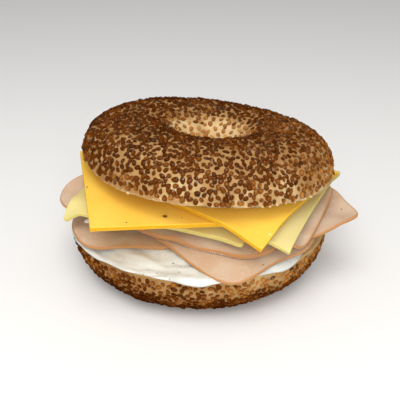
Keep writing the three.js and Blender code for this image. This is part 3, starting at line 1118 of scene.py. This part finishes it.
# %% Black seeds in the crust and one fallen seed
FALLEN_LIFT = 0.4 * MM
FALLEN_SIZE = 0.72
FALLEN_TONE = 0.62
black_spots = ((0.9, 17.4, 59.8), (-17.9, -43.2, 66.3), (-0.7, -55, 56.5))
crust_surface = surface_of(top_crust)
places = [
    stuck_on(crust_surface, in_bagel(*spot), 1.7 * MM, rng, sunk=-0.4) for spot in black_spots
]
lower_surface = surface_of(bottom_crust)
places.append(stuck_on(lower_surface, in_bagel(-6.2, -56.7, 17.3), 1.5 * MM, rng, sunk=-0.3))
black_seeds = joined_copies("black_seeds", fleck, places, [rng.random() for _ in places])

yellow_surface = surface_of(bpy.data.objects["yellow_slice_1"])
fallen_place = stuck_on(yellow_surface, in_bagel(-13.4, -47.3, 43.7), 1.0, rng, sunk=0.0)
spot, facing, _ = fallen_place.decompose()
lie = Matrix.Translation(spot + Vector((0, 0, FALLEN_LIFT))) @ facing.to_matrix().to_4x4()
fallen_seed = joined_copies(
    "fallen_seed", one_seed, [lie @ Matrix.Scale(FALLEN_SIZE, 4)], [FALLEN_TONE],
)
print("black seeds:", len(places))

# %% Torn dough, a dab of spread, drops that paint glints, and bits of cheese
TORN_COUNT = 46
places = []
for _ in range(TORN_COUNT):
    angle = math.radians(rng.choice((rng.gauss(-48, 9), rng.uniform(-150, 0))))
    edge = crust_point(TOP_SHAPE, angle, rng.uniform(0.002, 0.03))
    size = rng.uniform(0.5, 1.5) * MM
    places.append(stuck_on(crust_surface, top_place @ edge, size, rng, sunk=0.1))
torn_dough = joined_copies("torn_dough", fleck, places, [rng.random() for _ in places])

under_corner = surface_of(bpy.data.objects["turkey_slice_1"])
dab_place = stuck_on(under_corner, in_bagel(-48.5, -18, 28), 4.2 * MM, rng, sunk=0.0)
dab = joined_copies("dab", fleck, [dab_place], [0.0])

# The drops are glossy, and their pale colour also paints glints along the wet rim of the folded
# slice.
DROP_COUNT = 16
fold_surface = surface_of(bpy.data.objects["turkey_slice_4"])
first, last = in_bagel(4, -45.2, 27.6), in_bagel(18.5, -48.9, 25.6)
places = []
for k in range(DROP_COUNT):
    spot = first.lerp(last, k / DROP_COUNT) + Vector((0, rng.uniform(-0.7, 1.2), 0)) * MM
    places.append(stuck_on(fold_surface, spot, rng.uniform(0.3, 0.65) * MM, rng, sunk=0.0))
glint_drops = joined_copies("glint_drops", fleck, places, [0.0] * len(places))

corner_surface = surface_of(bpy.data.objects["yellow_slice_2"])
bits = (
    ((26.4, -52.9, 39.3), 1.3),
    ((22.9, -59.5, 37.4), 0.9),
    ((25.4, -54.6, 39), 0.7),
    ((9, -50, 41), 0.6),
)
places = [
    stuck_on(corner_surface, in_bagel(*spot), size * MM, rng, sunk=0.1) for spot, size in bits
]
cheese_bits = joined_copies("cheese_bits", fleck, places, [rng.random() for _ in places])
print("torn dough, drops and bits:", TORN_COUNT, DROP_COUNT, len(bits))

# %% Materials of the small things
def speck_material(name, light, dark, roughness):
    material, tree, shader = start_material(name)
    # The ramp follows the tone, which also holds painted shade low down on each speck.
    fill(tree, shader, {
        "Base Color": ramp(tree, attribute(tree, "tone_and_shade"), (0.0, light), (1.0, dark)),
        "Roughness": roughness,
        "Specular IOR Level": 0.15,
    })
    return material


small_things = (
    (torn_dough, "crust", "torn_crumb", (0.66, 0.48, 0.26), (0.52, 0.34, 0.15), 0.8),
    (dab, "spread", "white_dab", (0.88, 0.88, 0.84), (0.8, 0.8, 0.75), 0.3),
    # pale, glossy drops: their pale colour is a painted highlight
    (glint_drops, "turkey", "pale_glint_drop", (0.92, 0.8, 0.68), (0.92, 0.8, 0.68), 0.08),
    (cheese_bits, "yellow_cheese", "pale_bit", (1.0, 0.78, 0.3), (0.98, 0.7, 0.18), 0.4),
    (pepper, "spread", "pepper_grey", (0.2, 0.19, 0.15), (0.03, 0.03, 0.025), 0.6),
    (crumbs, "yellow_cheese", "crumb_brown", (0.25, 0.1, 0.02), (0.06, 0.025, 0.01), 0.55),
    (black_seeds, "crust", "seed_black", (0.022, 0.019, 0.016), (0.009, 0.007, 0.006), 0.25),
)
for piece, slot, name, light, dark, roughness in small_things:
    finish_piece(piece, speck_material(name, light, dark, roughness), slot)
finish_piece(fallen_seed, seed_skin, "crust")
